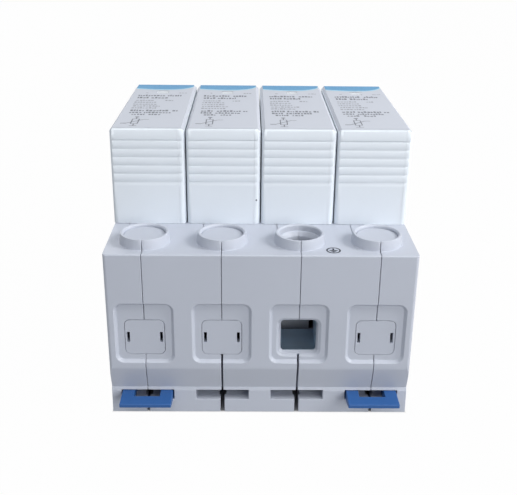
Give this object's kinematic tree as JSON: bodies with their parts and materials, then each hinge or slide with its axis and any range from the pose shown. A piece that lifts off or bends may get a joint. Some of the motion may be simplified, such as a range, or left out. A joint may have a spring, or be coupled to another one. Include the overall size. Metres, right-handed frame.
{
  "type": "DIN rail surge arrester",
  "caption": "Surge arrester for a DIN rail: sliced moulded base with clamp terminals and blue rail clips, carrying plug-in varistor modules side by side.",
  "frame": {"origin": "middle of the rail recess, in the plane of the back of the feet", "axes": "+X along the rail, +Y from the earth terminals to the line terminals, +Z away from the rail"},
  "size_m": [0.0716, 0.0953, 0.0658],
  "materials": {
    "base_plastic": "satin",
    "module_plastic": "satin",
    "clip_plastic": "satin",
    "window_clear": "clear",
    "flag_plastic": "matte",
    "varistor_coat": "satin",
    "contact_metal": "tinned copper",
    "cage_steel": "zinc plated",
    "plated_steel": "zinc plated",
    "spring_steel": "bright"
  },
  "bodies": {
    "base": {"base_left_end": "base_plastic", "base_middle_1": "base_plastic", "base_middle_2": "base_plastic", "base_middle_3": "base_plastic", "base_right_end": "base_plastic", "blanking_insert_1": "base_plastic", "blanking_insert_2": "base_plastic", "blanking_insert_4": "base_plastic", "tie_rivets": "plated_steel", "earth_busbar": "contact_metal", "line_bar_1": "contact_metal", "line_bar_2": "contact_metal", "line_bar_3": "contact_metal", "line_bar_4": "contact_metal"},
    "module_1": {"module_housing_1": "module_plastic", "module_lid_1": "module_plastic", "status_window_1": "window_clear", "varistor_1": "varistor_coat", "knife_contacts_1": "contact_metal", "trip_spring_1": "spring_steel"},
    "trip_1": {"trip_arm_1": "contact_metal", "trip_lever_1": "flag_plastic"},
    "module_2": {"module_housing_2": "module_plastic", "module_lid_2": "module_plastic", "status_window_2": "window_clear", "varistor_2": "varistor_coat", "knife_contacts_2": "contact_metal", "trip_spring_2": "spring_steel"},
    "trip_2": {"trip_arm_2": "contact_metal", "trip_lever_2": "flag_plastic"},
    "module_3": {"module_housing_3": "module_plastic", "module_lid_3": "module_plastic", "status_window_3": "window_clear", "varistor_3": "varistor_coat", "knife_contacts_3": "contact_metal", "trip_spring_3": "spring_steel"},
    "trip_3": {"trip_arm_3": "contact_metal", "trip_lever_3": "flag_plastic"},
    "module_4": {"module_housing_4": "module_plastic", "module_lid_4": "module_plastic", "status_window_4": "window_clear", "varistor_4": "varistor_coat", "knife_contacts_4": "contact_metal", "trip_spring_4": "spring_steel"},
    "trip_4": {"trip_arm_4": "contact_metal", "trip_lever_4": "flag_plastic"},
    "earth_screw_body": {"earth_screw": "plated_steel"},
    "earth_cage_body": {"earth_cage": "cage_steel"},
    "line_1_screw_body": {"line_screw_1": "plated_steel"},
    "line_1_cage_body": {"line_cage_1": "cage_steel"},
    "line_2_screw_body": {"line_screw_2": "plated_steel"},
    "line_2_cage_body": {"line_cage_2": "cage_steel"},
    "line_3_screw_body": {"line_screw_3": "plated_steel"},
    "line_3_cage_body": {"line_cage_3": "cage_steel"},
    "line_4_screw_body": {"line_screw_4": "plated_steel"},
    "line_4_cage_body": {"line_cage_4": "cage_steel"},
    "clip_left": {"rail_clip_left": "clip_plastic"},
    "clip_right": {"rail_clip_right": "clip_plastic"}
  },
  "joints": [
    {"name": "module_1_pull", "type": "slide", "parent": "base", "child": "module_1", "axis": [0, 0, 1], "range_m": [0, 0.034]},
    {"name": "trip_1_swing", "type": "hinge", "parent": "module_1", "child": "trip_1", "pos_m": [-0.027, 0.0138, 0.0251], "axis": [1, 0, 0], "range_deg": [0, 10]},
    {"name": "module_2_pull", "type": "slide", "parent": "base", "child": "module_2", "axis": [0, 0, 1], "range_m": [0, 0.034]},
    {"name": "trip_2_swing", "type": "hinge", "parent": "module_2", "child": "trip_2", "pos_m": [-0.009, 0.0138, 0.0251], "axis": [1, 0, 0], "range_deg": [0, 10]},
    {"name": "module_3_pull", "type": "slide", "parent": "base", "child": "module_3", "axis": [0, 0, 1], "range_m": [0, 0.034]},
    {"name": "trip_3_swing", "type": "hinge", "parent": "module_3", "child": "trip_3", "pos_m": [0.009, 0.0138, 0.0251], "axis": [1, 0, 0], "range_deg": [0, 10]},
    {"name": "module_4_pull", "type": "slide", "parent": "base", "child": "module_4", "axis": [0, 0, 1], "range_m": [0, 0.034]},
    {"name": "trip_4_swing", "type": "hinge", "parent": "module_4", "child": "trip_4", "pos_m": [0.027, 0.0138, 0.0251], "axis": [1, 0, 0], "range_deg": [0, 10]},
    {"name": "earth_screw_turn", "type": "hinge", "parent": "base", "child": "earth_screw_body", "pos_m": [0.009, -0.037, 0.04], "axis": [0, 0, -1], "range_deg": [0, 2880]},
    {"name": "earth_cage_lift", "type": "slide", "parent": "base", "child": "earth_cage_body", "axis": [0, 0, 1], "range_m": [0, 0.0064]},
    {"name": "line_1_screw_turn", "type": "hinge", "parent": "base", "child": "line_1_screw_body", "pos_m": [-0.027, 0.037, 0.04], "axis": [0, 0, -1], "range_deg": [0, 2880]},
    {"name": "line_1_cage_lift", "type": "slide", "parent": "base", "child": "line_1_cage_body", "axis": [0, 0, 1], "range_m": [0, 0.0064]},
    {"name": "line_2_screw_turn", "type": "hinge", "parent": "base", "child": "line_2_screw_body", "pos_m": [-0.009, 0.037, 0.04], "axis": [0, 0, -1], "range_deg": [0, 2880]},
    {"name": "line_2_cage_lift", "type": "slide", "parent": "base", "child": "line_2_cage_body", "axis": [0, 0, 1], "range_m": [0, 0.0064]},
    {"name": "line_3_screw_turn", "type": "hinge", "parent": "base", "child": "line_3_screw_body", "pos_m": [0.009, 0.037, 0.04], "axis": [0, 0, -1], "range_deg": [0, 2880]},
    {"name": "line_3_cage_lift", "type": "slide", "parent": "base", "child": "line_3_cage_body", "axis": [0, 0, 1], "range_m": [0, 0.0064]},
    {"name": "line_4_screw_turn", "type": "hinge", "parent": "base", "child": "line_4_screw_body", "pos_m": [0.027, 0.037, 0.04], "axis": [0, 0, -1], "range_deg": [0, 2880]},
    {"name": "line_4_cage_lift", "type": "slide", "parent": "base", "child": "line_4_cage_body", "axis": [0, 0, 1], "range_m": [0, 0.0064]},
    {"name": "clip_left_pull", "type": "slide", "parent": "base", "child": "clip_left", "axis": [0, -1, 0], "range_m": [0, 0.0042]},
    {"name": "clip_right_pull", "type": "slide", "parent": "base", "child": "clip_right", "axis": [0, -1, 0], "range_m": [0, 0.0042]}
  ],
  "couplings": [
    {"joint": "earth_screw_turn", "follows": "earth_cage_lift", "rad_per_m": 7854},
    {"joint": "line_1_screw_turn", "follows": "line_1_cage_lift", "rad_per_m": 7854},
    {"joint": "line_2_screw_turn", "follows": "line_2_cage_lift", "rad_per_m": 7854},
    {"joint": "line_3_screw_turn", "follows": "line_3_cage_lift", "rad_per_m": 7854},
    {"joint": "line_4_screw_turn", "follows": "line_4_cage_lift", "rad_per_m": 7854}
  ]
}
